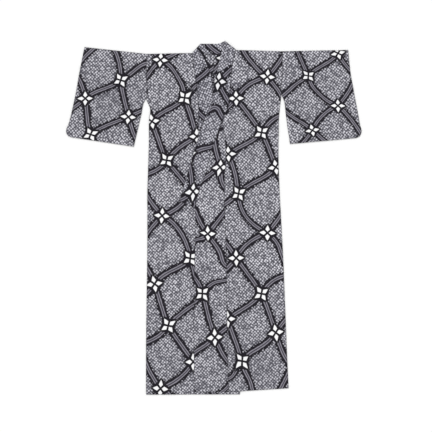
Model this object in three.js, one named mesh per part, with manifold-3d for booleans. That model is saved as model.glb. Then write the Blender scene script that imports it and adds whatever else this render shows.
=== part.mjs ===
// Woman's cotton kimono (yukata), laid out flat with its left front over its right front.
// Millimetres. X runs across the garment, +Y towards the collar, +Z up from the surface that it lies on.
// The wearer's right is at -X. Each cut piece of cloth is one solid.
import * as THREE from "three";
import { mergeVertices } from "three/addons/utils/BufferGeometryUtils.js";
import Module from "manifold-3d";

const wasm = await Module();
wasm.setup();

// Driving sizes
const CLOTH = 1.2; // wall of one layer of cloth
const LIE = 0.4; // air between layers that lie on each other
const SEAM = 0.3; // gap between two pieces at a seam
const BAND = 2.6; // collar band, folded double
const FOLD = 2.5; // depth of the closed strip along a fold or a sewn edge
const STEP = 60; // longest row spacing in a panel
const REACH = 42; // how far the upper front stays raised past what it lies on
const SLOPE = 60; // length of its slope down to the next layer
const SIDE_OPENING = 430; // Y where the side seams start, below the armhole
const CUFF_OPENING = 240; // length of the open wrist edge from the top of a sleeve

// Heights of the undersides of the layers
const ON_BACK = CLOTH + LIE;
const ON_RIGHT_FRONT = 2 * (CLOTH + LIE);
const ON_RIGHT_BAND = ON_BACK + BAND + LIE;
const ON_NECK_BAND = BAND + LIE;

// Rows of the right body: the front's inner edge and the side edge, from the shoulder to the hem.
const RIGHT_ROWS = [
  { inner: [-99, 749], side: [-306, 745] },
  { inner: [-96, 730], side: [-306, 727] },
  { inner: [-92, 700], side: [-306, 698] },
  { inner: [-87, 665], side: [-306, 663] },
  { inner: [-84, 639], side: [-306, 638] },
  { inner: [-77, 604], side: [-306, 603] },
  { inner: [-71, 534], side: [-305, 534] },
  { inner: [-68, 499], side: [-290, 499] },
  { inner: [-70, 440], side: [-295, 440] },
  { inner: [-70, 400], side: [-295, 400] },
  { inner: [-62, 305], side: [-296, 305] },
  { inner: [-55, 210], side: [-299, 210] },
  { inner: [-50, 116], side: [-302, 116] },
  { inner: [-46, 22], side: [-302, 22] },
  { inner: [-41, -130], side: [-302, -130] },
  { inner: [-37, -400], side: [-306, -400] },
  { inner: [-35, -600], side: [-308, -600] },
  { inner: [-33, -803], side: [-308, -804] },
];
const RIGHT_TIP = 9; // row of RIGHT_ROWS at the pointed top of the overlap panel

// Rows of the left body, in the same order.
const LEFT_ROWS = [
  { inner: [99, 763], side: [313, 757] },
  { inner: [94, 740], side: [312.5, 735] },
  { inner: [88, 714], side: [312, 708] },
  { inner: [83, 688], side: [311.4, 682] },
  { inner: [80, 648], side: [310.6, 645] },
  { inner: [75, 601], side: [309.6, 598] },
  { inner: [71, 547], side: [306, 547] },
  { inner: [66, 507], side: [301, 505] },
  { inner: [40, 445], side: [296, 448] },
  { inner: [48, 383], side: [295, 385] },
  { inner: [55, 300], side: [294, 300] },
  { inner: [50, 194], side: [296, 200] },
  { inner: [47, 135], side: [298, 140] },
  { inner: [49, 44], side: [303, 48] },
  { inner: [52, -25], side: [307, -22] },
  { inner: [58, -200], side: [316, -195] },
  { inner: [59, -374], side: [323, -367] },
  { inner: [62, -580], side: [331, -570] },
  { inner: [67, -792], side: [340, -775] },
];
const LEFT_TIP = 8; // row of LEFT_ROWS at the pointed top of the overlap panel

// Outer edge of each overlap panel (okumi), row for row with the body from its tip down:
// first along the collar, then the free front edge.
const RIGHT_OVERLAP_EDGE = [
  [-68, 400],
  [-24, 305],
  [22, 210],
  [68, 116],
  [113, 22],
  [115, -130],
  [117, -400],
  [118, -600],
  [119, -803],
];
const LEFT_OVERLAP_EDGE = [
  [38, 445],
  [17, 383],
  [-12, 300],
  [-40, 194],
  [-63, 135],
  [-85, 44],
  [-84, -25],
  [-87, -200],
  [-90, -374],
  [-90, -580],
  [-90, -793],
];

// Free edge of each collar band, row for row with its seam, from the neck fold to its square end.
const RIGHT_BAND_EDGE = [
  [-77, 770],
  [-54, 743],
  [-37, 708],
  [-22, 675],
  [-11, 644],
  [-6, 606],
  [-4, 545],
  [0, 510],
  [4, 460],
  [2, 426],
  [44, 338],
  [90, 243],
  [136, 149],
  [181, 55],
];
const LEFT_BAND_EDGE = [
  [51, 804],
  [35, 752],
  [29, 726],
  [21, 700],
  [14, 656],
  [1, 604],
  [-7, 548],
  [-14, 500],
  [-31, 468],
  [-56, 407],
  [-86, 316],
  [-113, 220],
  [-133, 155],
  [-157, 76],
];

// Collar behind the neck: its seam and its top edge, from the right fold to the left fold.
const NECK_ROWS = [
  { seam: [-98, 750.5], edge: [-61, 791] },
  { seam: [-50, 746], edge: [-40, 791] },
  { seam: [0, 742.5], edge: [-10, 791] },
  { seam: [50, 753], edge: [19, 791] },
  { seam: [98, 765], edge: [51, 804] },
];
const LEFT_FOLD_SEAM = [99, 766]; // the left band's outer corner at the neck fold

// Centre back seam and back hem
const NECK_CENTRE = [0, 742];
const HEM_CENTRE = [14, -797];
const BACK_HEM_RISE = 4; // the back ends this much above the front

// Rows of each sleeve, from its lower edge to its fold along the top.
const RIGHT_SLEEVE = [
  { inner: [-364, 324], outer: [-651, 367] },
  { inner: [-361, 337], outer: [-665, 375] },
  { inner: [-357, 354], outer: [-671, 390] },
  { inner: [-346, 401], outer: [-659, 430] },
  { inner: [-329, 473], outer: [-645, 485] },
  { inner: [-314, 532], outer: [-632, 546] },
  { inner: [-306, 543], outer: [-629, 560] },
  { inner: [-306, 640], outer: [-613, 650] },
  { inner: [-306, 745], outer: [-588, 776] },
];
const LEFT_SLEEVE = [
  { inner: [347, 336], outer: [648, 363] },
  { inner: [345, 350], outer: [663, 371] },
  { inner: [343, 366], outer: [671, 387] },
  { inner: [337, 401], outer: [664, 428] },
  { inner: [329, 461], outer: [655, 478] },
  { inner: [316, 541], outer: [641, 552] },
  { inner: [309, 556], outer: [638, 570] },
  { inner: [311, 657], outer: [622, 659] },
  { inner: [313, 757], outer: [611, 763] },
];

const mix = (a, b, t) => [a[0] + (b[0] - a[0]) * t, a[1] + (b[1] - a[1]) * t];
const shift = (p, dx, dy = 0) => [p[0] + dx, p[1] + dy];
const distance = (a, b) => Math.hypot(a[0] - b[0], a[1] - b[1]);

// Adds rows between the given ones, so that none is more than STEP from the next.
function fill(rows) {
  const full = [rows[0]];
  for (let i = 1; i < rows.length; i += 1) {
    const spans = rows[i].map((p, k) => distance(p, rows[i - 1][k]));
    const parts = Math.ceil(Math.min(...spans) / STEP) || 1;
    for (let n = 1; n <= parts; n += 1) {
      full.push(rows[i].map((p, k) => mix(rows[i - 1][k], p, n / parts)));
    }
  }
  return full;
}

// Puts columns between the points of each row.
function spread(row, columns) {
  const points = [row[0]];
  for (let k = 1; k < row.length; k += 1) {
    for (let n = 1; n <= columns; n += 1) {
      points.push(mix(row[k - 1], row[k], n / columns));
    }
  }
  return points;
}

// A closed sheet over rows of points: underside(x, y) is its lower face and its wall stands on that.
function sheet(rows, columns, underside, wall) {
  const grid = fill(rows).map((row) => spread(row, columns));
  const height = grid.length;
  const width = grid[0].length;
  const layer = height * width;
  const position = [];
  for (const rise of [0, wall]) {
    for (const [x, y] of grid.flat()) {
      position.push(x, y, underside(x, y) + rise);
    }
  }
  const index = [];
  const at = (i, j, top) => i * width + j + (top ? layer : 0);
  const quad = (a, b, c, d) => index.push(a, b, c, a, c, d);
  for (let i = 0; i + 1 < height; i += 1) {
    for (let j = 0; j + 1 < width; j += 1) {
      quad(at(i, j, 1), at(i, j + 1, 1), at(i + 1, j + 1, 1), at(i + 1, j, 1));
      quad(at(i, j, 0), at(i + 1, j, 0), at(i + 1, j + 1, 0), at(i, j + 1, 0));
    }
    quad(at(i, 0, 1), at(i + 1, 0, 1), at(i + 1, 0, 0), at(i, 0, 0));
    quad(at(i + 1, width - 1, 1), at(i, width - 1, 1), at(i, width - 1, 0), at(i + 1, width - 1, 0));
  }
  for (let j = 0; j + 1 < width; j += 1) {
    quad(at(0, j + 1, 1), at(0, j, 1), at(0, j, 0), at(0, j + 1, 0));
    quad(at(height - 1, j, 1), at(height - 1, j + 1, 1), at(height - 1, j + 1, 0), at(height - 1, j, 0));
  }
  const [a, b, c] = [grid[0][0], grid[0][1], grid[1][0]];
  const turn = (b[0] - a[0]) * (c[1] - a[1]) - (b[1] - a[1]) * (c[0] - a[0]);
  const faces = turn > 0 ? index : index.reverse();
  const mesh = new wasm.Mesh({
    numProp: 3,
    vertProperties: new Float32Array(position),
    triVerts: new Uint32Array(faces),
  });
  return new wasm.Manifold(mesh);
}

const flat = (z) => () => z;

// A closed strip along a fold or a sewn edge, through all its layers.
function closing(points, inward, bottom, top) {
  const rows = points.map((p) => [p, shift(p, inward[0], inward[1])]);
  return sheet(rows, 1, flat(bottom), top - bottom);
}

function distanceToEdge([x, y], [ax, ay], [bx, by]) {
  const [dx, dy] = [bx - ax, by - ay];
  const along = ((x - ax) * dx + (y - ay) * dy) / (dx * dx + dy * dy);
  const t = Math.min(1, Math.max(0, along));
  return Math.hypot(x - ax - dx * t, y - ay - dy * t);
}

function inside([x, y], outline) {
  let crossed = false;
  outline.forEach(([ax, ay], i) => {
    const [bx, by] = outline[(i + 1) % outline.length];
    if (ay > y !== by > y && x < ((bx - ax) * (y - ay)) / (by - ay) + ax) {
      crossed = !crossed;
    }
  });
  return crossed;
}

// 1 on an outline and up to REACH past it, then sloping to 0.
function nearness(point, outline) {
  if (inside(point, outline)) {
    return 1;
  }
  const edges = outline.map((p, i) => distanceToEdge(point, p, outline[(i + 1) % outline.length]));
  const past = Math.min(...edges) - REACH;
  return Math.min(1, Math.max(0, 1 - past / SLOPE));
}

const edgeOf = (rows, name) => rows.map((row) => row[name]);

// Seam of each band: down the front to the tip, then along the overlap panel.
const bandSeam = (rows, tip, overlap, bandRows) =>
  [...edgeOf(rows, "inner").slice(0, tip), ...overlap].slice(0, bandRows);
const RIGHT_BAND_SEAM = bandSeam(RIGHT_ROWS, RIGHT_TIP, RIGHT_OVERLAP_EDGE, RIGHT_BAND_EDGE.length);
const LEFT_BAND_SEAM = bandSeam(LEFT_ROWS, LEFT_TIP, LEFT_OVERLAP_EDGE, LEFT_BAND_EDGE.length);

// Outlines of what the left front and the bands lie on
const RIGHT_BAND_OUTLINE = [...RIGHT_BAND_SEAM, ...[...RIGHT_BAND_EDGE].reverse()];
const RIGHT_FRONT_OUTLINE = [
  ...edgeOf(RIGHT_ROWS, "inner").slice(0, RIGHT_TIP + 1),
  ...RIGHT_OVERLAP_EDGE.slice(1),
  ...edgeOf(RIGHT_ROWS, "side").reverse(),
];
const NECK_OUTLINE = [...edgeOf(NECK_ROWS, "seam"), ...edgeOf(NECK_ROWS, "edge").reverse()];

const raised = (from, to, share) => from + (to - from) * share;

function underRightBand(x, y) {
  return raised(ON_BACK, ON_NECK_BAND, nearness([x, y], NECK_OUTLINE));
}

function underLeftFront(x, y) {
  return Math.max(
    raised(ON_BACK, ON_RIGHT_FRONT, nearness([x, y], RIGHT_FRONT_OUTLINE)),
    raised(ON_BACK, ON_RIGHT_BAND, nearness([x, y], RIGHT_BAND_OUTLINE)),
  );
}

function underLeftBand(x, y) {
  return Math.max(underLeftFront(x, y), underRightBand(x, y));
}

// Back, shoulder fold, front and side seam of one body panel. Out is -1 on the right and 1 on the left.
function bodyPanel(rows, out, underside) {
  const gap = (SEAM / 2) * out;
  const top = ON_BACK + CLOTH;
  const last = rows.length - 1;
  const sides = edgeOf(rows, "side").map((p) => shift(p, -gap));
  const neckX = rows[0].inner[0];
  const back = rows.map((row, i) => {
    const rise = (BACK_HEM_RISE * i) / last;
    const centre = mix(NECK_CENTRE, HEM_CENTRE, i / last);
    const side = shift(sides[i], 0, rise);
    const middle = i === 0 ? rows[0].inner : [neckX, mix(side, centre, 0.5)[1]];
    return [side, middle, [centre[0] + gap, mix(side, centre, i === 0 ? 1 : 0.7)[1]]];
  });
  const front = rows.map((row, i) => [sides[i], shift(row.inner, gap)]);
  const shoulder = closing(spread([sides[0], rows[0].inner], 3), [0, -FOLD], 0, top);
  const sewn = sides.filter(([, y]) => y < SIDE_OPENING);
  const sideSeam = closing(sewn, [-FOLD * out, BACK_HEM_RISE / 2], 0, top);
  return sheet(back, 3, flat(0), CLOTH)
    .add(sheet(front, 7, underside, CLOTH))
    .add(shoulder)
    .add(sideSeam);
}

function overlapPanel(rows, tip, edge, out, underside) {
  const gap = (SEAM / 2) * out;
  const seam = edgeOf(rows, "inner").slice(tip);
  const panel = edge.map((p, i) => [shift(seam[i], -gap), shift(p, gap)]);
  return sheet(panel, 5, underside, CLOTH);
}

function bandRows(seam, edge, out) {
  return seam.map((p, i) => [shift(p, -SEAM * out), edge[i]]);
}

// The collar is one folded strip: down each front and behind the neck, with a turned fold at each corner.
function collar() {
  const right = bandRows(RIGHT_BAND_SEAM, RIGHT_BAND_EDGE, -1);
  const left = bandRows(LEFT_BAND_SEAM, LEFT_BAND_EDGE, 1);
  right[0] = [NECK_ROWS[0].seam, RIGHT_BAND_EDGE[0]];
  left[0] = [LEFT_FOLD_SEAM, LEFT_BAND_EDGE[0]];
  const neck = NECK_ROWS.map((row) => [row.seam, row.edge]);
  const top = ON_NECK_BAND + BAND;
  return sheet(right, 4, underRightBand, BAND)
    .add(sheet(left, 4, underLeftBand, BAND))
    .add(sheet(neck, 3, flat(0), BAND))
    .add(closing(right[0], [FOLD, 0], 0, top))
    .add(closing(left[0], [-FOLD, 0], 0, top));
}

// A sleeve is a flattened tube: folded along the top, sewn along the bottom and the lower wrist edge.
function sleeve(rows, out) {
  const gap = (SEAM / 2) * out;
  const top = ON_BACK + CLOTH;
  const plan = rows.map((row) => [shift(row.inner, gap), row.outer]);
  const upper = plan[plan.length - 1];
  const bottom = spread(plan[0], 4);
  const wrist = plan.map((row) => row[1]).filter(([, y]) => y < upper[1][1] - CUFF_OPENING);
  return sheet(plan, 5, flat(0), CLOTH)
    .add(sheet(plan, 5, flat(ON_BACK), CLOTH))
    .add(closing(spread(upper, 4), [0, -FOLD], 0, top))
    .add(closing(bottom, [0, FOLD], 0, top))
    .add(closing(wrist, [-FOLD * out, 0], 0, top));
}

function geometryOf(solid) {
  const { numProp, vertProperties, triVerts } = solid.getMesh();
  const geometry = new THREE.BufferGeometry();
  geometry.setAttribute("position", new THREE.BufferAttribute(new Float32Array(vertProperties), numProp));
  geometry.setIndex(new THREE.BufferAttribute(new Uint32Array(triVerts), 1));
  return mergeVertices(geometry);
}

const printedCotton = new THREE.MeshStandardMaterial({ color: 0x7e7d88, roughness: 0.9, metalness: 0 });
const foldedCotton = new THREE.MeshStandardMaterial({ color: 0x72717d, roughness: 0.9, metalness: 0 });

const pieces = [
  { name: "body_right", solid: bodyPanel(RIGHT_ROWS, -1, flat(ON_BACK)), material: printedCotton },
  { name: "body_left", solid: bodyPanel(LEFT_ROWS, 1, underLeftFront), material: printedCotton },
  {
    name: "okumi_right",
    solid: overlapPanel(RIGHT_ROWS, RIGHT_TIP, RIGHT_OVERLAP_EDGE, -1, flat(ON_BACK)),
    material: printedCotton,
  },
  {
    name: "okumi_left",
    solid: overlapPanel(LEFT_ROWS, LEFT_TIP, LEFT_OVERLAP_EDGE, 1, underLeftFront),
    material: printedCotton,
  },
  { name: "sleeve_right", solid: sleeve(RIGHT_SLEEVE, -1), material: printedCotton },
  { name: "sleeve_left", solid: sleeve(LEFT_SLEEVE, 1), material: printedCotton },
  { name: "collar", solid: collar(), material: foldedCotton },
];

const kimono = new THREE.Group();
for (const { name, solid, material } of pieces) {
  const mesh = new THREE.Mesh(geometryOf(solid), material);
  mesh.name = name;
  kimono.add(mesh);
}

export default kimono;
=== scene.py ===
# The looks of a woman's cotton kimono laid out flat: each cut piece as a thin shell of cloth on its solid,
# with its turned hems, soft creases and resist-dyed pattern, and the sewing. Plan sizes are in millimetres,
# as the CAD's are. Meshes and materials are in metres.
import math

import bpy
import numpy as np
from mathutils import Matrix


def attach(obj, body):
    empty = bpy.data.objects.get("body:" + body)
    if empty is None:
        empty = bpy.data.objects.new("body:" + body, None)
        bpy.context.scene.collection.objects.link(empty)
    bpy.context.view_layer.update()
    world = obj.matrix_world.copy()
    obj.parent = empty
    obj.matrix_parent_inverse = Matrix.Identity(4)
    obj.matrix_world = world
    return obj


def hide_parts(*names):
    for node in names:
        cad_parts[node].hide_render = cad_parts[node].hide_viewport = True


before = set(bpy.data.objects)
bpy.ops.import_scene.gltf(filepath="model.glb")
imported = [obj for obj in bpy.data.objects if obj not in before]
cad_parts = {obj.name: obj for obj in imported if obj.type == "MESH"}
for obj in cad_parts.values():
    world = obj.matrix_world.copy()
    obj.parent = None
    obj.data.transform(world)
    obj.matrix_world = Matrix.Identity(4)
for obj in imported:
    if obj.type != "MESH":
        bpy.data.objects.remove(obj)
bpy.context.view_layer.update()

MM = 0.001
CLOTH = 1.2  # wall of one layer
LIE = 0.4  # air between layers
SEAM = 0.3  # gap between pieces
BAND = 2.6  # collar band, folded double
GRID = 4.6  # spacing of the cloth's points
HEM_WIDTH = 12.0  # turned hem along a free edge
HEM_RISE = 0.5
HEM_SLOPE = 4.0  # width of the slope at a hem's inner side
FOLD = 2.5  # depth of the strip that closes a fold or a sewn edge
SIDE_SEAM_TOP = 430.0  # the side seams start here; above it are the body's openings
BAND_END = 60.0  # about where the bands end, and the overlap panels' free edges start
OPENING = 240.0  # sleeve opening, down from the sleeve's fold
ON_BACK = CLOTH + LIE
TOP = ON_BACK + CLOTH
ON_RIGHT_FRONT = 2 * (CLOTH + LIE)
ON_RIGHT_BAND = ON_BACK + BAND + LIE
ON_NECK_BAND = BAND + LIE
REACH = 5.0  # how far a layer stays raised past what it lies on
SLOPE = 26.0  # length of its slope down
FARTHEST = 1e9

# ---------------- the cut

# Rows of each body panel from the shoulder to the hem: the front's inner edge, then the side.
RIGHT_ROWS = [
    ((-99, 749), (-306, 745)),
    ((-96, 730), (-306, 727)),
    ((-92, 700), (-306, 698)),
    ((-87, 665), (-306, 663)),
    ((-84, 639), (-306, 638)),
    ((-77, 604), (-306, 603)),
    ((-71, 534), (-305, 534)),
    ((-68, 499), (-290, 499)),
    ((-70, 440), (-295, 440)),
    ((-70, 400), (-295, 400)),
    ((-62, 305), (-296, 305)),
    ((-55, 210), (-299, 210)),
    ((-50, 116), (-302, 116)),
    ((-46, 22), (-302, 22)),
    ((-41, -130), (-302, -130)),
    ((-37, -400), (-306, -400)),
    ((-35, -600), (-308, -600)),
    ((-33, -803), (-308, -804)),
]
RIGHT_TIP = 9  # the row at the pointed top of the right overlap panel
LEFT_ROWS = [
    ((99, 763), (313, 757)),
    ((94, 740), (312.5, 735)),
    ((88, 714), (312, 708)),
    ((83, 688), (311.4, 682)),
    ((80, 648), (310.6, 645)),
    ((75, 601), (309.6, 598)),
    ((71, 547), (306, 547)),
    ((66, 507), (301, 505)),
    ((40, 445), (296, 448)),
    ((48, 383), (295, 385)),
    ((55, 300), (294, 300)),
    ((50, 194), (296, 200)),
    ((47, 135), (298, 140)),
    ((49, 44), (303, 48)),
    ((52, -25), (307, -22)),
    ((58, -200), (316, -195)),
    ((59, -374), (323, -367)),
    ((62, -580), (331, -570)),
    ((67, -792), (340, -775)),
]
LEFT_TIP = 8
# Outer edge of each overlap panel from its tip down, row for row with the body.
RIGHT_OVERLAP_EDGE = [
    (-68, 400), (-24, 305), (22, 210), (68, 116), (113, 22), (115, -130), (117, -400), (118, -600),
    (119, -803),
]
LEFT_OVERLAP_EDGE = [
    (38, 445), (17, 383), (-12, 300), (-40, 194), (-63, 135), (-85, 44), (-84, -25), (-87, -200), (-90, -374),
    (-90, -580), (-90, -793),
]
# Free edge of each collar band from the neck fold to its square end, row for row with its seam.
RIGHT_BAND_EDGE = [
    (-77, 770), (-54, 743), (-37, 708), (-22, 675), (-11, 644), (-6, 606), (-4, 545), (0, 510), (4, 460),
    (2, 426), (44, 338), (90, 243), (136, 149), (181, 55),
]
LEFT_BAND_EDGE = [
    (51, 804), (35, 752), (29, 726), (21, 700), (14, 656), (1, 604), (-7, 548), (-14, 500), (-31, 468),
    (-56, 407), (-86, 316), (-113, 220), (-133, 155), (-157, 76),
]
# The collar behind the neck, seam and top edge, from the right fold to the left fold.
NECK_ROWS = [
    ((-98, 750.5), (-61, 791)),
    ((-50, 746), (-40, 791)),
    ((0, 742.5), (-10, 791)),
    ((50, 753), (19, 791)),
    ((98, 765), (51, 804)),
]
LEFT_FOLD_SEAM = (99, 766)
NECK_CENTRE = (0, 742)
HEM_CENTRE = (14, -797)
BACK_HEM_RISE = 4  # the back's hem ends this much above the front's, at the side seam
ROW_LEVEL = 0.3  # how far the back's rows keep to the height that they have at the side
RIGHT_FOLD_Y = 745  # shoulder folds
LEFT_FOLD_Y = 757
# Rows of each sleeve from its lower edge to its top fold: the body's side, then the wrist's side.
RIGHT_SLEEVE = [
    ((-364, 324), (-651, 367)),
    ((-361, 337), (-665, 375)),
    ((-357, 354), (-671, 390)),
    ((-346, 401), (-659, 430)),
    ((-329, 473), (-645, 485)),
    ((-314, 532), (-632, 546)),
    ((-306, 543), (-629, 560)),
    ((-306, 640), (-613, 650)),
    ((-306, 745), (-588, 776)),
]
LEFT_SLEEVE = [
    ((347, 336), (648, 363)),
    ((345, 350), (663, 371)),
    ((343, 366), (671, 387)),
    ((337, 401), (664, 428)),
    ((329, 461), (655, 478)),
    ((316, 541), (641, 552)),
    ((309, 556), (638, 570)),
    ((311, 657), (622, 659)),
    ((313, 757), (611, 763)),
]


def steps_of(*edges):
    """How many grid steps each stretch between rows takes, the same for every edge of a piece."""
    spans = [np.linalg.norm(np.diff(np.array(e, float), axis=0), axis=1) for e in edges]
    return np.maximum(1, np.ceil(np.max(spans, axis=0) / GRID)).astype(int)


def smooth(points, steps):
    """A smooth line through the points, with steps[i] steps after point i."""
    p = np.array(points, float)
    h = np.linalg.norm(np.diff(p, axis=0), axis=1)[:, None]
    slope = np.diff(p, axis=0) / h
    tangent = np.empty_like(p)
    tangent[0], tangent[-1] = slope[0], slope[-1]
    tangent[1:-1] = (slope[1:] * h[:-1] + slope[:-1] * h[1:]) / (h[1:] + h[:-1])
    line = []
    for i, count in enumerate(steps):
        t = (np.arange(count) / count)[:, None]
        line.append(
            (1 + 2 * t) * (1 - t) ** 2 * p[i]
            + t * (1 - t) ** 2 * h[i] * tangent[i]
            + t**2 * (3 - 2 * t) * p[i + 1]
            + t**2 * (t - 1) * h[i] * tangent[i + 1]
        )
    return np.concatenate([*line, p[-1:]])


def ruled(first, second, columns=None):
    """A grid of points between two lines with as many points each."""
    width = np.linalg.norm(second - first, axis=1).max()
    n = columns or max(2, math.ceil(width / GRID))
    t = np.linspace(0, 1, n + 1)[None, :, None]
    return first[:, None] * (1 - t) + second[:, None] * t


def moved(line, dx):
    return line + np.array([dx, 0.0])


# ---------------- heights


def from_line(points, line):
    """Distance of each point from an open line, negative on the line's right."""
    best = np.full(len(points), FARTHEST)
    for a, b in zip(line[:-1], line[1:]):
        d = b - a
        off = points - a
        t = np.clip((off @ d) / max(d @ d, 1e-9), 0, 1)[:, None]
        distance = np.linalg.norm(off - d * t, axis=1)
        left = d[0] * off[:, 1] - d[1] * off[:, 0] > 0
        best = np.where(distance < np.abs(best), np.where(left, distance, -distance), best)
    return best


def edge_distance(points, line):
    return np.abs(from_line(points, line))


def within(points, outline):
    x, y = points[:, 0], points[:, 1]
    crossed = np.zeros(len(points), bool)
    for (ax, ay), (bx, by) in zip(outline, np.roll(outline, -1, axis=0)):
        if ay != by:
            crossed ^= ((ay > y) != (by > y)) & (x < (bx - ax) * (y - ay) / (by - ay) + ax)
    return crossed


def ease(t):
    t = np.clip(t, 0, 1)
    return t * t * (3 - 2 * t)


def nearness(points, outline):
    """1 on an outline and a little past it, then easing down to 0."""
    past = edge_distance(points, np.vstack([outline, outline[:1]]))
    past[within(points, outline)] = 0
    return 1 - ease((past - REACH) / SLOPE)


def column(rows, k):
    return [row[k] for row in rows]


R_STEPS = steps_of(column(RIGHT_ROWS, 0), column(RIGHT_ROWS, 1))
L_STEPS = steps_of(column(LEFT_ROWS, 0), column(LEFT_ROWS, 1))
R_INNER = smooth(column(RIGHT_ROWS, 0), R_STEPS)
L_INNER = smooth(column(LEFT_ROWS, 0), L_STEPS)
R_SIDE = smooth(column(RIGHT_ROWS, 1), R_STEPS)
L_SIDE = smooth(column(LEFT_ROWS, 1), L_STEPS)
R_OVERLAP = smooth(RIGHT_OVERLAP_EDGE, R_STEPS[RIGHT_TIP:])
L_OVERLAP = smooth(LEFT_OVERLAP_EDGE, L_STEPS[LEFT_TIP:])


def band_lines(inner, overlap, steps, tip, edge):
    """A band's seam, which follows the front to the tip and then the overlap panel, and its free edge."""
    rows = len(edge) - 1
    seam = np.vstack([inner[: steps[:tip].sum()], overlap[: steps[tip:rows].sum() + 1]])
    return seam, smooth(edge, steps[:rows])


R_BAND_SEAM, R_BAND_FREE = band_lines(R_INNER, R_OVERLAP, R_STEPS, RIGHT_TIP, RIGHT_BAND_EDGE)
L_BAND_SEAM, L_BAND_FREE = band_lines(L_INNER, L_OVERLAP, L_STEPS, LEFT_TIP, LEFT_BAND_EDGE)

THIN_OUT = slice(None, None, 4)  # an outline needs fewer points than a sheet
RIGHT_INNER = R_INNER[: R_STEPS[:RIGHT_TIP].sum()]
RIGHT_FRONT_OUTLINE = np.vstack(
    [RIGHT_INNER[THIN_OUT], R_OVERLAP[THIN_OUT], R_OVERLAP[-1:], R_SIDE[::-1][THIN_OUT]]
)
RIGHT_BAND_OUTLINE = np.vstack([R_BAND_SEAM[THIN_OUT], R_BAND_SEAM[-1:], R_BAND_FREE[::-1][THIN_OUT]])
NECK_OUTLINE = np.array(column(NECK_ROWS, 0) + column(NECK_ROWS, 1)[::-1], float)

# Soft creases that lift the upper layers: where each starts and ends, how wide it is and how high.
CREASES = [
    ((-290, 470), (-190, 250), 26, 2.6),
    ((-296, 300), (-150, 190), 20, 1.8),
    ((-280, -60), (-120, -150), 22, 1.5),
    ((-300, -560), (-110, -640), 26, 2.2),
    ((-215, -420), (-195, -800), 18, 1.6),
    ((-60, -690), (40, -730), 16, 1.6),
    ((-20, -260), (45, -420), 18, 1.4),
    ((292, 440), (170, 215), 26, 2.8),
    ((120, 620), (250, 560), 22, 1.6),
    ((298, 130), (140, 60), 22, 1.8),
    ((120, -300), (300, -345), 20, 1.6),
    ((120, -690), (320, -668), 14, 2.6),
    ((230, -470), (262, -760), 20, 1.8),
    ((-260, 700), (-170, 560), 24, 1.6),
    ((-600, 700), (-450, 560), 24, 2.0),
    ((-640, 430), (-480, 380), 22, 1.8),
    ((-350, 600), (-420, 450), 20, 1.6),
    ((600, 690), (470, 600), 24, 2.0),
    ((640, 430), (470, 400), 22, 1.8),
    ((350, 640), (430, 480), 20, 1.7),
]
SWAY = 9.0  # how far a crease bends off its straight line
SWAY_TURN = 5.0  # how much of a wave that makes along its length, in radians
FADE_IN = (0.35, 0.3)  # in this share of its length it grows, and this share of that is before its start
FADE_OUT = (0.5, 0.2)  # the same past its end
WAVINESS = 0.35  # half the height of the slow waves


def creased(points):
    """Height of the creases at each point. They fade out at their ends."""
    lift = np.zeros(len(points))
    for start, end, width, height in CREASES:
        d = np.subtract(end, start).astype(float)
        length = np.linalg.norm(d)
        along = ((points - start) @ d) / length**2
        across = ((points - start) @ np.array([-d[1], d[0]])) / length
        across -= SWAY * np.sin(along * SWAY_TURN)
        fade = ease(along / FADE_IN[0] + FADE_IN[1]) * ease((1 - along) / FADE_OUT[0] + FADE_OUT[1])
        lift += height * fade * np.exp(-((across / width) ** 2))
    # A slow waviness, as of cloth smoothed out by hand
    x, y = points[:, 0], points[:, 1]
    waves_across = np.sin(x / 47 + 1.7 * np.sin(y / 131))
    waves_along = np.sin(y / 83 + 1.3 * np.sin(x / 97))
    return lift + WAVINESS * (1 + waves_across * waves_along)


def over_back(points):
    """Under a layer that lies on the back alone: the right front, and the upper side of a sleeve."""
    return ON_BACK + creased(points)


def under_right_band(points):
    return ON_BACK + (ON_NECK_BAND - ON_BACK) * nearness(points, NECK_OUTLINE) + creased(points)


def under_left_front(points):
    cloth = (ON_RIGHT_FRONT - ON_BACK) * nearness(points, RIGHT_FRONT_OUTLINE)
    band = (ON_RIGHT_BAND - ON_BACK) * nearness(points, RIGHT_BAND_OUTLINE)
    return ON_BACK + np.maximum(cloth, band) + creased(points)


def under_left_band(points):
    return np.maximum(under_left_front(points), under_right_band(points))


def on_floor(points):
    return np.zeros(len(points))


# ---------------- the pattern

# One repeat of the bolt's pattern: a net of curved double lines with a four-petalled flower on each knot.
# Across the bolt and along it, from the first knot.
REPEAT = 733.0
KNOTS = {
    "A": (0, 0), "B": (121, 182), "C": (-39, 298), "D": (168, 359), "E": (32, 469), "F": (141, 623),
    "G": (-109, 168), "H": (-100, 551), "I": (-165, 437), "J": (317, 52), "K": (300, 282), "L": (250, 487),
}
# How far the flower on a knot is turned, in degrees. The knots at the bolt's sides have none.
TURNED = {"A": 5, "B": 56, "C": -10, "D": -3, "E": 56, "F": -2}
# The net's lines, each named by the knots that it joins, and the angles at which it leaves the first and
# reaches the second, clockwise from across the bolt.
LINES = {
    "AB": (24, 88), "BC": (132, 128), "BD": (76, 70), "CE": (71, 63), "DE": (146, 130),
    "EF": (57, 53), "FA": (120, 161), "AG": (132, 114), "GC": (48, 70), "CI": (126, 140),
    "EH": (124, 170), "HA": (70, 50), "IH": (60, 64), "BJ": (-38, -28), "FJ": (58, 26),
    "DK": (-36, -22), "DL": (66, 50), "LF": (112, 127), "JK": (78, 74), "KL": (112, 100),
}
ONWARD = ("FA", "HA", "FJ")  # these reach the second knot in the next repeat
LINE_PARTS = 12
LINE_PULL = 0.38  # how far a line keeps the way it leaves a knot, as a share of its length
LINE_MARGIN = 60.0  # a line matters this far around it
NEAR_FLOWER = 48.0
FAR = 200.0


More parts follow.
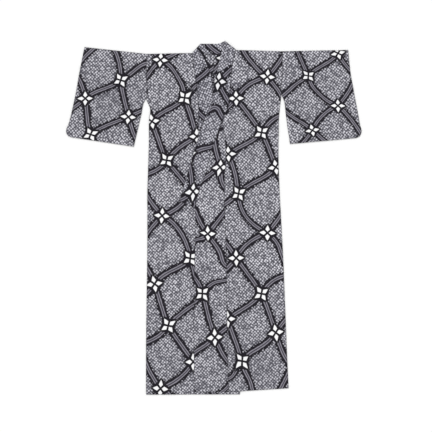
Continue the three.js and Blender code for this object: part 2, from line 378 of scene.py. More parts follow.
def curve_points(line, repeat):
    a = np.array(KNOTS[line[0]], float) + (0, repeat * REPEAT)
    b = np.array(KNOTS[line[1]], float) + (0, (repeat + (line in ONWARD)) * REPEAT)
    reach = np.linalg.norm(b - a) * LINE_PULL
    leaves, reaches = np.radians(LINES[line])
    p = [a, a + reach * np.array([math.cos(leaves), math.sin(leaves)])]
    p += [b - reach * np.array([math.cos(reaches), math.sin(reaches)]), b]
    t = np.linspace(0, 1, LINE_PARTS + 1)[:, None]
    return (1 - t) ** 3 * p[0] + 3 * t * (1 - t) ** 2 * p[1] + 3 * t**2 * (1 - t) * p[2] + t**3 * p[3]


NET = [curve_points(line, repeat) for repeat in (-1, 0, 1) for line in LINES]


def nearer_of(first, second):
    return np.where(np.abs(second) < np.abs(first), second, first)


def pattern(cloth):
    """For points of the bolt: distance from the net's nearest line, negative on its right, and where they are
    in the nearest flower."""
    at = np.column_stack([cloth[:, 0], np.mod(cloth[:, 1], REPEAT)])
    rail = np.full(len(at), FAR)
    for line in NET:
        low, high = line.min(axis=0) - LINE_MARGIN, line.max(axis=0) + LINE_MARGIN
        near = np.all((at > low) & (at < high), axis=1)
        if near.any():
            rail[near] = nearer_of(rail[near], from_line(at[near], line))
    best = np.full(len(at), FARTHEST)
    flower = np.zeros((len(at), 3))
    for name, turn in TURNED.items():
        for repeat in (-1, 0, 1):
            offset = at - (np.array(KNOTS[name], float) + (0, repeat * REPEAT))
            distance = np.linalg.norm(offset, axis=1)
            nearer = distance < best
            best[nearer] = distance[nearer]
            c, s = math.cos(math.radians(turn)), math.sin(math.radians(turn))
            flower[nearer, 0] = (offset[nearer] @ (c, s)) * MM
            flower[nearer, 1] = (offset[nearer] @ (-s, c)) * MM
    flower[:, 2] = best < NEAR_FLOWER
    return rail, flower


# The bolt is printed a little finer towards the shoulder and coarser towards the hem.
FIRST_ROW = 718.0
STRETCH = 1.0823
STRETCH_CHANGE = -6.8e-5


def down(y):
    d = FIRST_ROW - y
    return STRETCH * d + STRETCH_CHANGE * d * d


# Where hand tying has drawn the net aside, for each bolt: the place, how far it moved, how wide a patch, and
# how far it turned there, in degrees anticlockwise.
DRAWN = {
    "right": [
        {"at": (-80, -350), "by": (20, -4), "reach": 190},
        {"at": (-85, 371), "by": (-2, -9), "reach": 80},
        {"at": (-100, -655), "by": (7, -2), "reach": 80},
        {"at": (-130, 547), "by": (-11, -3), "reach": 75},
        {"at": (-152, 649), "by": (-12, -5), "reach": 60},
        {"at": (-72, 600), "by": (0, 22), "reach": 45},
        {"at": (-217, 264), "by": (-4, -11), "reach": 80},
        {"at": (-238, 12), "by": (7, 0), "reach": 80},
        {"at": (-110, -182), "by": (5, -5), "reach": 80},
        {"at": (-274, -301), "by": (5, 0), "reach": 80},
        {"at": (-209, -489), "by": (-4, -6), "reach": 80},
    ],
    "left": [
        {"at": (72, -457), "by": (-13, 3), "reach": 110},
        {"at": (215, -345), "by": (7, 0), "reach": 110},
        {"at": (72, 295), "by": (-9, 0), "reach": 90},
        {"at": (112, 113), "by": (-8, -5), "reach": 75},
        {"at": (215, 389), "by": (7, -9), "reach": 80},
        {"at": (126, -653), "by": (6, 7), "reach": 80},
        {"at": (165, -750), "by": (26, 0), "reach": 65},
        {"at": (70, -712), "by": (0, -32), "reach": 38},
        {"at": (280, -520), "by": (0, 8), "reach": 80},
        {"at": (240, 642), "by": (0, -7), "reach": 80},
        {"at": (171, 701), "by": (6, 8), "reach": 70},
        {"at": (172, 45), "by": (-9, -6), "reach": 60},
        {"at": (283, -115), "by": (9, 4), "reach": 45},
    ],
    "left overlap": [
        {"at": (-35, -74), "by": (0, -30), "reach": 120},
        {"at": (-85, -245), "by": (-22, -16), "reach": 75},
        {"at": (40, 165), "by": (-12, -4), "reach": 55},
        {"at": (24, 231), "by": (8, 12), "reach": 60},
        {"at": (-54, -346), "by": (-1, 7), "reach": 80},
        {"at": (3, -541), "by": (5, 0), "reach": 90},
        {"at": (55, -215), "by": (0, -62), "reach": 60},
        {"at": (45, -755), "by": (32, -6), "reach": 70},
        {"at": (-73, -767), "by": (-38, -24), "reach": 50},
        {"at": (-40, -583), "by": (0, -7), "reach": 45},
        {"at": (-80, -112), "by": (0, 40), "reach": 40},
        {"at": (4, -301), "by": (-6, 14), "reach": 50},
    ],
    "left band": [
        {"at": (-105, 303), "by": (-28, -30), "reach": 95},
        {"at": (-103, 120), "by": (3, 8), "reach": 60, "turn": 24},
        {"at": (-5, 335), "by": (0, -20), "reach": 45},
        {"at": (-104, 162), "by": (13, 0), "reach": 42},
    ],
    "left sleeve": [
        {"at": (446, 399), "by": (1, -3), "reach": 80},
        {"at": (368, 610), "by": (3, 12), "reach": 60},
        {"at": (477, 558), "by": (5, 8), "reach": 55},
        {"at": (366, 462), "by": (-3, -17), "reach": 75},
        {"at": (401, 349), "by": (9, 0), "reach": 45},
        {"at": (563, 512), "by": (-1, 7), "reach": 80},
        {"at": (335, 745), "by": (-6, 26), "reach": 42},
    ],
    "right sleeve": [
        {"at": (-583, 543), "by": (8, 0), "reach": 90},
        {"at": (-422, 624), "by": (-9, 0), "reach": 90},
        {"at": (-388, 458), "by": (10, 0), "reach": 90},
        {"at": (-561, 379), "by": (-9, 0), "reach": 90},
        {"at": (-318, 700), "by": (-2, 28), "reach": 70},
        {"at": (-422, 707), "by": (-9, 0), "reach": 60},
    ],
}


def drawn(points, name):
    """The points, put back to where the net would be had it not been drawn aside."""
    moved_back = points.astype(float)
    for patch in DRAWN.get(name, []):
        off = points - np.array(patch["at"], float)
        weight = np.exp(-((np.linalg.norm(off, axis=1) / patch["reach"]) ** 2))
        back = -weight * math.radians(patch.get("turn", 0))
        c, s = np.cos(back), np.sin(back)
        turned = np.column_stack([c * off[:, 0] - s * off[:, 1], s * off[:, 0] + c * off[:, 1]])
        moved_back += turned - off - np.outer(weight, patch["by"])
    return moved_back


def upright(name, x0, start, lean=0.0):
    """Where the bolt lies on a panel that has the pattern upright; it leans above the waist."""

    def at(points):
        p = drawn(points, name)
        return np.column_stack([p[:, 0] - x0 - lean * np.maximum(p[:, 1], 0), down(p[:, 1]) - start])

    return at


def inverted(name, x0, start):
    """The same, turned end for end."""

    def at(points):
        p = drawn(points, name)
        return np.column_stack([x0 - p[:, 0], start - down(p[:, 1])])

    return at


def laid(name, start, across, along):
    """The bolt from its first knot at start, given where a step across it and a step along it go."""
    back = np.linalg.inv(np.array([across, along], float))
    return lambda points: (drawn(points, name) - np.array(start, float)) @ back


RIGHT_BOLT = upright("right", -242.3, 0)
LEFT_BOLT = inverted("left", 242.7, 77.0)
LEFT_OVERLAP_BOLT = upright("left overlap", -168.0, 897.3, 0.11)
RIGHT_OVERLAP_BOLT = upright("right overlap", -60, 240)
RIGHT_SLEEVE_BOLT = laid("right sleeve", (-501.1, 805.3), (0.988, -0.141), (-0.175, -0.9))
LEFT_SLEEVE_BOLT = laid("left sleeve", (565.6, 502.5), (-0.941, -0.071), (-0.125, 0.815))
# The net as it shows inside the back of the neck, further along the bolt than the outside
RIGHT_INSIDE = (-183.7, 135.6)
LEFT_INSIDE = (-54.7, 469.8)


def behind(bolt, fold_y, further=(0, 0)):
    """The same bolt after it turns over a fold: it runs back the other way."""

    def at(points):
        front = points.astype(float)
        front[:, 1] = 2 * fold_y - points[:, 1]
        return bolt(front) + np.array(further, float)

    return at


NECK_ACROSS = 842
NECK_ALONG = 60


def neck_bolt(points):
    """The bolt on the collar behind the neck, which runs across the garment."""
    return np.column_stack([NECK_ACROSS - points[:, 1], NECK_ALONG + points[:, 0]])


# Painted light and shade: soft patches that darken the cloth over the sleeves and towards the hem, and
# lighten it in places: the place, how wide a patch and how much.
LIGHT_AND_SHADE_PATCHES = [
    ((-480, 560), 170, -0.16),
    ((-410, 520), 110, -0.10),
    ((500, 560), 170, -0.05),
    ((-208, 618), 90, 0.13),
    ((192, 618), 80, 0.13),
    ((-281, 58), 65, 0.15),
    ((74, 58), 60, 0.18),
    ((-20, 35), 75, 0.12),
    ((-35, -100), 60, 0.10),
    ((279, -170), 85, 0.18),
    ((156, -511), 70, -0.08),
    ((-150, -690), 150, -0.11),
    ((170, -710), 150, -0.20),
]


def painted_light_and_shade(points):
    light_and_shade = np.ones(len(points))
    for place, reach, change in LIGHT_AND_SHADE_PATCHES:
        distance = np.linalg.norm(points - np.array(place, float), axis=1)
        light_and_shade += change * np.exp(-((distance / reach) ** 2))
    return light_and_shade


# Stripes that pass over a seam or a fold where the rest of the net is turned another way
LEFT_BAND_STRIPE = [(-30, 482), (-14, 494), (4, 502), (20, 494), (34, 468), (48, 450), (70, 446)]
NECK_STRIPE = [(-96, 786), (-83.6, 765.6), (-60.6, 738.6), (-43.6, 703.6), (-28.6, 670.6), (-20, 640)]
STRIPE_STEPS = 4


# ---------------- shells


INNER = 60.0  # past this distance from its border, a sheet is plain


def border_distance(rows, cols):
    """About how far each point of a grid is from its border."""
    i, j = np.meshgrid(np.arange(rows), np.arange(cols), indexing="ij")
    steps = np.minimum(np.minimum(i, rows - 1 - i), np.minimum(j, cols - 1 - j)).ravel()
    distance = np.minimum(steps * GRID, INNER)
    return np.where(steps == 0, 0.0, distance)


def linked(name, mesh, material):
    """A smooth mesh as an object of the scene."""
    mesh.polygons.foreach_set("use_smooth", np.ones(len(mesh.polygons), bool))
    mesh.materials.append(material)
    piece = bpy.data.objects.new(name, mesh)
    bpy.context.scene.collection.objects.link(piece)
    return piece


class Shell:
    """Collects sheets of cloth into one mesh, with what the material needs to know on every point."""

    def __init__(self):
        self.points, self.faces, self.cloth, self.edge, self.extra, self.weave = [], [], [], [], [], []
        self.count, self.area = 0, 0.0

    def sheet(self, grid, underside, wall, bolt, inside=None, stripe=None, grain=0.0):
        """One layer. inside is the bolt on its upper side, where that differs; stripe is one more line; grain
        is how far its threads are turned, in degrees."""
        rows, cols = grid.shape[:2]
        n = rows * cols
        flat = grid.reshape(-1, 2)
        low = underside(flat)
        self.points += [np.column_stack([flat, low]), np.column_stack([flat, low + wall])]

        index = np.arange(n).reshape(rows, cols)
        corners = [index[:-1, :-1], index[:-1, 1:], index[1:, 1:], index[1:, :-1]]
        lower = np.stack(corners, axis=-1).reshape(-1, 4)
        rim = np.concatenate([index[0, :], index[1:, -1], index[-1, :-1][::-1], index[1:-1, 0][::-1]])
        sides = np.column_stack([rim, np.roll(rim, -1), np.roll(rim, -1) + n, rim + n])
        faces = np.concatenate([lower + n, lower[:, ::-1], sides])
        if np.cross(grid[0, 1] - grid[0, 0], grid[1, 0] - grid[0, 0]) < 0:
            faces = faces[:, ::-1]
        self.faces.append(faces + self.count)
        self.count += 2 * n
        step_along, step_across = grid[1:, :-1] - grid[:-1, :-1], grid[:-1, 1:] - grid[:-1, :-1]
        self.area += float(np.abs(np.cross(step_along, step_across)).sum()) * MM * MM

        cloth = bolt(flat)
        self.cloth += [cloth, inside(flat) if inside else cloth]
        c, s = math.cos(math.radians(grain)), math.sin(math.radians(grain))
        self.weave += [np.column_stack([flat @ (c, s), flat @ (-s, c), np.zeros(n)]) * MM] * 2
        extra = np.full(n, FAR)
        if stripe:
            extra = from_line(flat, smooth(stripe, [STRIPE_STEPS] * (len(stripe) - 1)))
        self.extra += [extra] * 2
        self.edge += [border_distance(rows, cols)] * 2

    def build(self, name, material):
        points = np.concatenate(self.points) * MM
        faces = np.concatenate(self.faces)
        cloth = np.concatenate(self.cloth)
        mesh = bpy.data.meshes.new(name)
        mesh.vertices.add(len(points))
        mesh.vertices.foreach_set("co", points.astype(np.float32).ravel())
        mesh.loops.add(faces.size)
        mesh.loops.foreach_set("vertex_index", faces.astype(np.int32).ravel())
        mesh.polygons.add(len(faces))
        mesh.polygons.foreach_set("loop_start", (np.arange(len(faces)) * 4).astype(np.int32))
        mesh.update(calc_edges=True)
        mesh.validate()
        rail, flower = pattern(cloth)
        rail = nearer_of(rail, np.concatenate(self.extra)) * MM
        scalars = {
            "rail": rail,
            "stripe": np.abs(rail),
            "edge": np.concatenate(self.edge) * MM,
            # Painted light and shade: the soft patches that darken and lighten the cloth
            "light_and_shade": painted_light_and_shade(points[:, :2] / MM),
        }
        for key, values in scalars.items():
            mesh.attributes.new(key, "FLOAT", "POINT").data.foreach_set("value", values.astype(np.float32))
        for key, values in {"flower": flower, "weave": np.concatenate(self.weave)}.items():
            made = mesh.attributes.new(key, "FLOAT_VECTOR", "POINT")
            made.data.foreach_set("vector", values.astype(np.float32).ravel())
        return linked(name, mesh, material)


# ---------------- material


def srgb(r, g, b):
    """A colour given as it looks on a screen, out of 255."""
    linear = [c / 255 / 12.92 if c <= 10 else ((c / 255 + 0.055) / 1.055) ** 2.4 for c in (r, g, b)]
    return (*linear, 1.0)


class Nodes:
    """Short names for the few kinds of node that a cloth needs."""

    def __init__(self, material):
        material.use_nodes = True
        self.tree = material.node_tree
        self.tree.nodes.clear()

    def node(self, kind, inputs=None, **settings):
        made = self.tree.nodes.new(kind)
        for key, value in settings.items():
            setattr(made, key, value)
        for key, value in (inputs or {}).items():
            if isinstance(value, bpy.types.NodeSocket):
                self.tree.links.new(value, made.inputs[key])
            else:
                made.inputs[key].default_value = value
        return made

    def attribute(self, name, output):
        return self.node("ShaderNodeAttribute", attribute_name=name).outputs[output]

    def math(self, operation, a, b=0.0, c=0.0, clamp=False):
        made = self.node("ShaderNodeMath", {0: a, 1: b, 2: c}, operation=operation, use_clamp=clamp)
        return made.outputs[0]

    def step(self, value, low, high, to_low=0.0, to_high=1.0):
        """Eases from to_low to to_high as value goes from low to high."""
        made = self.node(
            "ShaderNodeMapRange",
            {"Value": value, "From Min": low, "From Max": high, "To Min": to_low, "To Max": to_high},
            interpolation_type="SMOOTHSTEP",
        )
        return made.outputs["Result"]

    def mix(self, factor, a, b, blend="MIX"):
        made = self.node("ShaderNodeMix", data_type="RGBA", blend_type=blend)
        for socket, value in ((made.inputs[0], factor), (made.inputs[6], a), (made.inputs[7], b)):
            if isinstance(value, bpy.types.NodeSocket):
                self.tree.links.new(value, socket)
            else:
                socket.default_value = value
        return made.outputs[2]

    def noise(self, vector, scale, detail=2.0, rough=0.5):
        made = self.node(
            "ShaderNodeTexNoise", {"Vector": vector, "Scale": scale, "Detail": detail, "Roughness": rough}
        )
        return made.outputs["Fac"]

    def shaken(self, value, noise, by):
        """The value, moved up or down by the noise."""
        return self.math("MULTIPLY_ADD", noise, by, self.math("ADD", value, -by / 2))

    def scaled(self, vector, angle, scale=(1, 1, 1)):
        made = self.node(
            "ShaderNodeMapping", {"Vector": vector, "Rotation": (0, 0, math.radians(angle)), "Scale": scale}
        )
        return made.outputs["Vector"]

    def surface(self, colour, rough, relief, depth):
        """The material's shader: cloth or thread, with its relief as a bump."""
        bump = self.node("ShaderNodeBump", {"Height": relief, "Strength": 0.35, "Distance": depth})
        shader = self.node(
            "ShaderNodeBsdfPrincipled",
            {
                "Base Color": colour,
                "Roughness": rough,
                "Normal": bump.outputs["Normal"],
                "Sheen Weight": 0.18,
                "Sheen Roughness": 0.5,
                "Specular IOR Level": 0.25,
            },
        )
        out = self.node("ShaderNodeOutputMaterial")
        self.tree.links.new(shader.outputs["BSDF"], out.inputs["Surface"])


# The print's ink, also used for the painted shadow along every sheet's border
INK_AND_EDGE_SHADOW = srgb(22, 18, 28)
PETAL = srgb(255, 255, 255)
GROUND_LIGHT = srgb(243, 242, 249)
GROUND_DARK = srgb(84, 83, 92)
STRIPE_GREY = srgb(66, 63, 72)
STRIPE_LIGHT = srgb(148, 145, 155)
WASHED = srgb(236, 236, 238)
UNWASHED = srgb(255, 255, 255)
THREAD_DARK = srgb(34, 32, 44)
THREAD_LIGHT = srgb(84, 81, 96)
THREAD_WORN = srgb(112, 109, 122)
DOT_PITCH = 0.0104
DOT_ROWS = 41  # how far the rows of dots are turned from the threads, in degrees
DOT_UNEVEN = 0.38  # how irregular their lattice is
DOT_SIDE = (0.10, 0.58)  # where a dot fades out, in pitches from its middle
DOT_MIDDLE = (0.04, 0.10)  # its tied middle is darker
INK_SIDE = (0.0152, 0.0174)  # where the ink beside a pair of lines fades out, from the pair's middle
BAND_SIDE = (0.0057, 0.0075)  # where the pair itself does
BETWEEN = (0.0016, 0.0036)  # where the dark gap between its two lines does
INK_STRAY = 0.014  # how ragged the ink's edge is, and the same of the pair's and of a petal's ink
BAND_STRAY = 0.006
PETAL_STRAY = 0.004
SLOW_STRAY = 0.004  # the ink and the pair also waver by this
INK_AT_DOTS = (-0.016, 0.005)  # the ink's edge bends round the dots
# What a value is eased between, and what it gives there
UNEVEN_DYE = (0.25, 0.75, 0.82, 1.08)
BESIDE_LINES = (0.013, 0.034, 0.62, 1.0)
PALE_LINES = (0.30, 0.52, 0.55, 1.0)
# Painted shadow: a dark line along every sheet's border, at its seams and folds, in the ink's colour
PAINTED_EDGE_SHADOW = (0.0008, 0.0042, 0.42, 0.0)
CLOTH_ROUGH = (0.2, 1.1, 0.94, 0.78)
THREAD_ROUGH = (0.1, 0.9, 0.8, 0.62)
RUBBED = (0.45, 0.75, 0.0, 0.7)
THREADS = 420.0
BLUNT = 0.8  # below 1, the petals' tips are blunter


def cotton(name, shade):
    """Resist-dyed cotton: a blue-grey ground of tied dots, paired lines in bands of ink, and white petals."""
    material = bpy.data.materials.new(name)
    n = Nodes(material)
    cloth = n.attribute("weave", "Vector")
    stripe = n.attribute("stripe", "Fac")
    flower = n.attribute("flower", "Vector")

    # Ground: a slightly irregular lattice of small tied dots
    cells = n.node(
        "ShaderNodeTexVoronoi",
        {"Vector": n.scaled(cloth, DOT_ROWS), "Scale": 1 / DOT_PITCH, "Randomness": DOT_UNEVEN},
        feature="F1",
    )
    spot = cells.outputs["Distance"]
    light = n.step(spot, *DOT_SIDE, 1.0, 0.0)
    centre = n.step(spot, *DOT_MIDDLE, 0.3, 0.0)
    light = n.math("SUBTRACT", light, centre, clamp=True)
    uneven = n.noise(cloth, scale=18.0, detail=3.0, rough=0.6)
    light = n.math("MULTIPLY", light, n.step(uneven, *UNEVEN_DYE), clamp=True)
    light = n.math("MULTIPLY", light, n.step(stripe, *BESIDE_LINES))
    # Painted light and shade: soft patches darken the ground over the sleeves and towards the hem, and
    # lighten it in places
    light = n.math("MULTIPLY", light, n.attribute("light_and_shade", "Fac"))
    ground = n.mix(light, GROUND_DARK, GROUND_LIGHT)

    # Paired lines: ragged ink outside, two thin light lines inside
    ragged = n.noise(cloth, scale=150.0, detail=3.0, rough=0.65)
    slow = n.noise(cloth, scale=34.0, detail=1.0)
    outer = n.shaken(stripe, ragged, INK_STRAY)
    outer = n.math("MULTIPLY_ADD", spot, INK_AT_DOTS[0], n.math("ADD", outer, INK_AT_DOTS[1]))
    outer = n.shaken(outer, slow, SLOW_STRAY)
    ink = n.step(outer, *INK_SIDE, 1.0, 0.0)
    inner = n.shaken(n.shaken(stripe, slow, SLOW_STRAY), ragged, BAND_STRAY)
    band = n.step(inner, *BAND_SIDE, 1.0, 0.0)
    pair = n.step(n.math("ABSOLUTE", n.attribute("rail", "Fac")), *BETWEEN)
    pair = n.math("MULTIPLY", pair, n.step(ragged, *PALE_LINES))

    # Flower: four pointed petals, worked out for one and mirrored to the rest
    parts = n.node("ShaderNodeSeparateXYZ", {"Vector": flower})
    across = n.math("ABSOLUTE", parts.outputs["X"])
    along = n.math("ABSOLUTE", parts.outputs["Y"])
    near_flower = n.math("GREATER_THAN", parts.outputs["Z"], 0.5)
    out = n.math("MAXIMUM", across, along)
    aside = n.math("MINIMUM", across, along)

    def petal(out, start, widest, end, half_width, soft):
        """A petal that runs out from start to end."""
        rise = n.math("DIVIDE", n.math("ADD", out, -start), widest - start)
        fall = n.math("DIVIDE", n.math("MULTIPLY_ADD", out, -1.0, end), end - widest)
        fall = n.math("POWER", n.math("MAXIMUM", fall, 0.0), BLUNT)
        edge = n.math("MULTIPLY", n.math("MINIMUM", rise, fall), half_width)
        inside = n.math("SUBTRACT", edge, aside)
        return n.math("MULTIPLY", n.step(inside, -soft, soft), near_flower)

    white = petal(out, start=0.0058, widest=0.0160, end=0.0342, half_width=0.0092, soft=0.0006)
    ragged_out = n.shaken(out, ragged, PETAL_STRAY)
    halo = petal(ragged_out, start=-0.020, widest=0.0150, end=0.0450, half_width=0.0250, soft=0.0010)

    colour = n.mix(ink, ground, INK_AND_EDGE_SHADOW)
    colour = n.mix(band, colour, STRIPE_GREY)
    colour = n.mix(n.math("MULTIPLY", pair, band), colour, STRIPE_LIGHT)
    colour = n.mix(halo, colour, INK_AND_EDGE_SHADOW)
    colour = n.mix(white, colour, PETAL)
    washed = n.noise(cloth, scale=5.0, detail=4.0, rough=0.55)
    colour = n.mix(1.0, colour, n.mix(washed, WASHED, UNWASHED), "MULTIPLY")
    colour = n.mix(1.0, colour, shade, "MULTIPLY")
    # Painted shadow: the ink's colour along every sheet's border, as a dark line at its seams and folds
    edge_shadow = n.step(n.attribute("edge", "Fac"), *PAINTED_EDGE_SHADOW)
    colour = n.mix(edge_shadow, colour, INK_AND_EDGE_SHADOW)

    # Plain weave: two sets of threads, and slubs along them
    threads = {"Vector": cloth, "Scale": THREADS, "Distortion": 0.6}
    warp = n.node("ShaderNodeTexWave", threads, bands_direction="X")
    weft = n.node("ShaderNodeTexWave", threads, bands_direction="Y")
    weave = n.math("MULTIPLY", warp.outputs["Fac"], weft.outputs["Fac"])
    slub = n.noise(n.scaled(cloth, 0, (6, 1, 1)), scale=120.0)
    puckers = n.math("MULTIPLY", light, 0.5)
    relief = n.math("ADD", n.math("MULTIPLY_ADD", weave, 0.35, puckers), n.math("MULTIPLY", slub, 0.5))
    n.surface(colour, n.step(relief, *CLOTH_ROUGH), relief, depth=0.0006)
    return material


def thread(name):
    """Indigo sewing thread of two plies, rubbed a little paler in places."""
    material = bpy.data.materials.new(name)
    n = Nodes(material)
    place = n.node("ShaderNodeTexCoord").outputs["Object"]
    plies = n.node("ShaderNodeTexWave", {"Vector": n.scaled(place, 35), "Scale": 630.0, "Distortion": 0.8})
    ply = plies.outputs["Fac"]
    worn = n.noise(place, scale=260.0)
    colour = n.mix(ply, THREAD_DARK, THREAD_LIGHT)
    colour = n.mix(n.step(worn, *RUBBED), colour, THREAD_WORN)
    n.surface(colour, n.step(ply, *THREAD_ROUGH), ply, depth=0.00012)
    return material


PRINTED = cotton("printed_cotton", srgb(255, 255, 255))
COLLAR = cotton("collar_cotton", srgb(248, 248, 250))
THREAD = thread("hem_thread")


# ---------------- pieces


def finish_piece(shell, node, material=PRINTED):
    """Makes the shell's mesh and puts it in place of its solid."""
    piece = shell.build(node + "_cloth", material)
    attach(piece, "root")
    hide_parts(node)


def turned_hem(points, *lines):
    """Height of the turned hems: a narrow raised border along free edges."""
    near = np.min([edge_distance(points, line) for line in lines], axis=0)
    return HEM_RISE * (1 - ease((near - HEM_WIDTH + HEM_SLOPE / 2) / HEM_SLOPE))


def closing(shell, line, inward, top, bolt):
    """A strip that closes a fold or a sewn edge through all its layers."""
    shell.sheet(ruled(line, line + np.array(inward, float), 1), on_floor, top, bolt)


def body_panel(name, inner, side, out, underside, bolt, inside, fold_y):
    """Back and front of one body panel. Out is -1 on the right and 1 on the left, here and below."""
    gap = SEAM / 2 * out
    shell = Shell()
    side_in = moved(side, -gap)
    share = np.linspace(0, 1, len(side))
    centre = np.array(NECK_CENTRE, float) + np.outer(share, np.subtract(HEM_CENTRE, NECK_CENTRE))
    centre[:, 1] = side[:, 1] * ROW_LEVEL + centre[:, 1] * (1 - ROW_LEVEL)
    centre[0] = NECK_CENTRE
    back_side = side_in + np.column_stack([np.zeros(len(share)), BACK_HEM_RISE * share])
    back = ruled(back_side, moved(centre, gap))

    # The back's top follows the shoulder's fold, then the neck
    neck = inner[0]
    x = back[0, :, 0]
    on_shoulder = np.clip(np.abs(x - side_in[0, 0]) / abs(neck[0] - side_in[0, 0]), 0, 1)
    shoulder_y = side_in[0, 1] + (neck[1] - side_in[0, 1]) * on_shoulder
    in_neck = np.clip(np.abs(x) / abs(neck[0]), 0, 1)
    neck_y = NECK_CENTRE[1] + (neck[1] - NECK_CENTRE[1]) * in_neck
    back[0, :, 1] = np.where(np.abs(x) > abs(neck[0]), shoulder_y, neck_y)
    shell.sheet(back, on_floor, CLOTH, behind(bolt, fold_y), behind(bolt, fold_y, inside), NECK_STRIPE)

    front = ruled(side_in, moved(inner, gap))
    shell.sheet(front, lambda p: underside(p) + turned_hem(p, front[-1]), CLOTH, bolt)
    closing(shell, front[0], (0, -FOLD), TOP, bolt)
    closing(shell, side_in[side_in[:, 1] < SIDE_SEAM_TOP], (-FOLD * out, 0), TOP, bolt)
    finish_piece(shell, name)


def overlap_panel(name, seam, edge, out, underside, bolt):
    gap = SEAM / 2 * out
    shell = Shell()
    grid = ruled(moved(seam, -gap), moved(edge, gap))
    free = edge[edge[:, 1] < BAND_END]
    shell.sheet(grid, lambda p: underside(p) + turned_hem(p, grid[-1], free), CLOTH, bolt)
    finish_piece(shell, name)


def sleeve(name, rows, out, bolt, grain):
    gap = SEAM / 2 * out
    steps = steps_of(column(rows, 0), column(rows, 1))
    inner = moved(smooth(column(rows, 0), steps), gap)
    outer = smooth(column(rows, 1), steps)
    grid = ruled(inner, outer)
    shell = Shell()
    fold_y = (grid[-1, 0, 1] + grid[-1, -1, 1]) / 2
    shell.sheet(grid, on_floor, CLOTH, behind(bolt, fold_y), grain=grain)
    shell.sheet(grid, lambda p: over_back(p) + turned_hem(p, outer, grid[0]), CLOTH, bolt, grain=grain)
    closing(shell, grid[-1], (0, -FOLD), TOP, bolt)
    closing(shell, grid[0], (0, FOLD), TOP, bolt)
    sewn = outer[outer[:, 1] < outer[-1, 1] - OPENING]
    closing(shell, sewn, (-FOLD * out, 0), TOP, bolt)
    finish_piece(shell, name)


BAND_STRIDE = 3  # grid steps in one stretch of a band's middle line


def band_bolt(name, seam, free, start_across, start_along, scale, turn):
    """The bolt on a collar band: across it from its middle, and along it from the neck fold."""
    middle = (seam + free) / 2
    length = np.concatenate([[0], np.cumsum(np.linalg.norm(np.diff(middle, axis=0), axis=1))])

    def at(points):
        points = drawn(points, name)
        best = np.full(len(points), FARTHEST)
        found = np.zeros((len(points), 2))
        for i in range(0, len(middle) - 1, BAND_STRIDE):
            j = min(i + BAND_STRIDE, len(middle) - 1)
            d = middle[j] - middle[i]
            t = np.clip(((points - middle[i]) @ d) / (d @ d), 0, 1)
            off = points - middle[i] - np.outer(t, d)
            distance = np.linalg.norm(off, axis=1)
            nearer = distance < best
            best[nearer] = distance[nearer]
            side = (off @ np.array([-d[1], d[0]])) / np.linalg.norm(d)
            found[nearer, 0] = side[nearer]
            found[nearer, 1] = (length[i] + t * (length[j] - length[i]))[nearer]
        return np.column_stack([start_across + turn * found[:, 0], start_along + turn * scale * found[:, 1]])

    return at


def collar():
    right_seam, left_seam = moved(R_BAND_SEAM, SEAM), moved(L_BAND_SEAM, -SEAM)
    right_seam[0], left_seam[0] = NECK_ROWS[0][0], LEFT_FOLD_SEAM
    right_bolt = band_bolt(
        "right band", right_seam, R_BAND_FREE, start_across=41, start_along=362, scale=1.05, turn=-1
    )
    left_bolt = band_bolt(
        "left band", left_seam, L_BAND_FREE, start_across=161, start_along=472, scale=0.883, turn=1
    )
    steps = steps_of(column(NECK_ROWS, 0))
    neck = ruled(smooth(column(NECK_ROWS, 0), steps), smooth(column(NECK_ROWS, 1), steps))
    top = ON_NECK_BAND + BAND
    shell = Shell()
    shell.sheet(ruled(right_seam, R_BAND_FREE), under_right_band, BAND, right_bolt, grain=17.0)
    left_band = ruled(left_seam, L_BAND_FREE)
    shell.sheet(left_band, under_left_band, BAND, left_bolt, stripe=LEFT_BAND_STRIPE, grain=-15.0)
    shell.sheet(neck, on_floor, BAND, neck_bolt, stripe=NECK_STRIPE)
    closing(shell, ruled(right_seam[:1], R_BAND_FREE[:1])[0], (FOLD, 0), top, right_bolt)
    closing(shell, ruled(left_seam[:1], L_BAND_FREE[:1])[0], (-FOLD, 0), top, left_bolt)
    finish_piece(shell, "collar", COLLAR)


body_panel("body_right", R_INNER, R_SIDE, -1, over_back, RIGHT_BOLT, RIGHT_INSIDE, RIGHT_FOLD_Y)
body_panel("body_left", L_INNER, L_SIDE, 1, under_left_front, LEFT_BOLT, LEFT_INSIDE, LEFT_FOLD_Y)
overlap_panel(
    "okumi_right", R_INNER[R_STEPS[:RIGHT_TIP].sum():], R_OVERLAP, -1, over_back, RIGHT_OVERLAP_BOLT
)
overlap_panel(
    "okumi_left", L_INNER[L_STEPS[:LEFT_TIP].sum():], L_OVERLAP, 1, under_left_front, LEFT_OVERLAP_BOLT
)
sleeve("sleeve_right", RIGHT_SLEEVE, -1, RIGHT_SLEEVE_BOLT, grain=-9.0)
sleeve("sleeve_left", LEFT_SLEEVE, 1, LEFT_SLEEVE_BOLT, grain=5.0)
collar()


# ---------------- sewing

STITCH = (1.3, 0.4, 0.36)  # half length, half width and height of a blind stitch
TACK = (3.4, 0.6, 0.55)  # the same of a bar tack, where an opening starts
STITCH_STEP = 12.0
STITCH_INSET = 8.5  # from the edge, so the stitch catches the turned hem
BAND_INSET = 4.0
TACK_INSET = 5.0
BY_HAND = 0.8  # how uneven the steps between stitches are
SLANT = 0.16  # how far a stitch may slant, in radians
AROUND = 8  # sides of a stitch
RINGS = (-0.75, -0.3, 0.3, 0.75)  # along a stitch of half length 1
COVERED_X = -96.0  # the right front's hem is covered from here on
BELOW_BAND = 36.0  # the left overlap panel's edge is stitched below here
ARMHOLE_ROW = 7  # the row of each body panel where its sleeve's seam ends


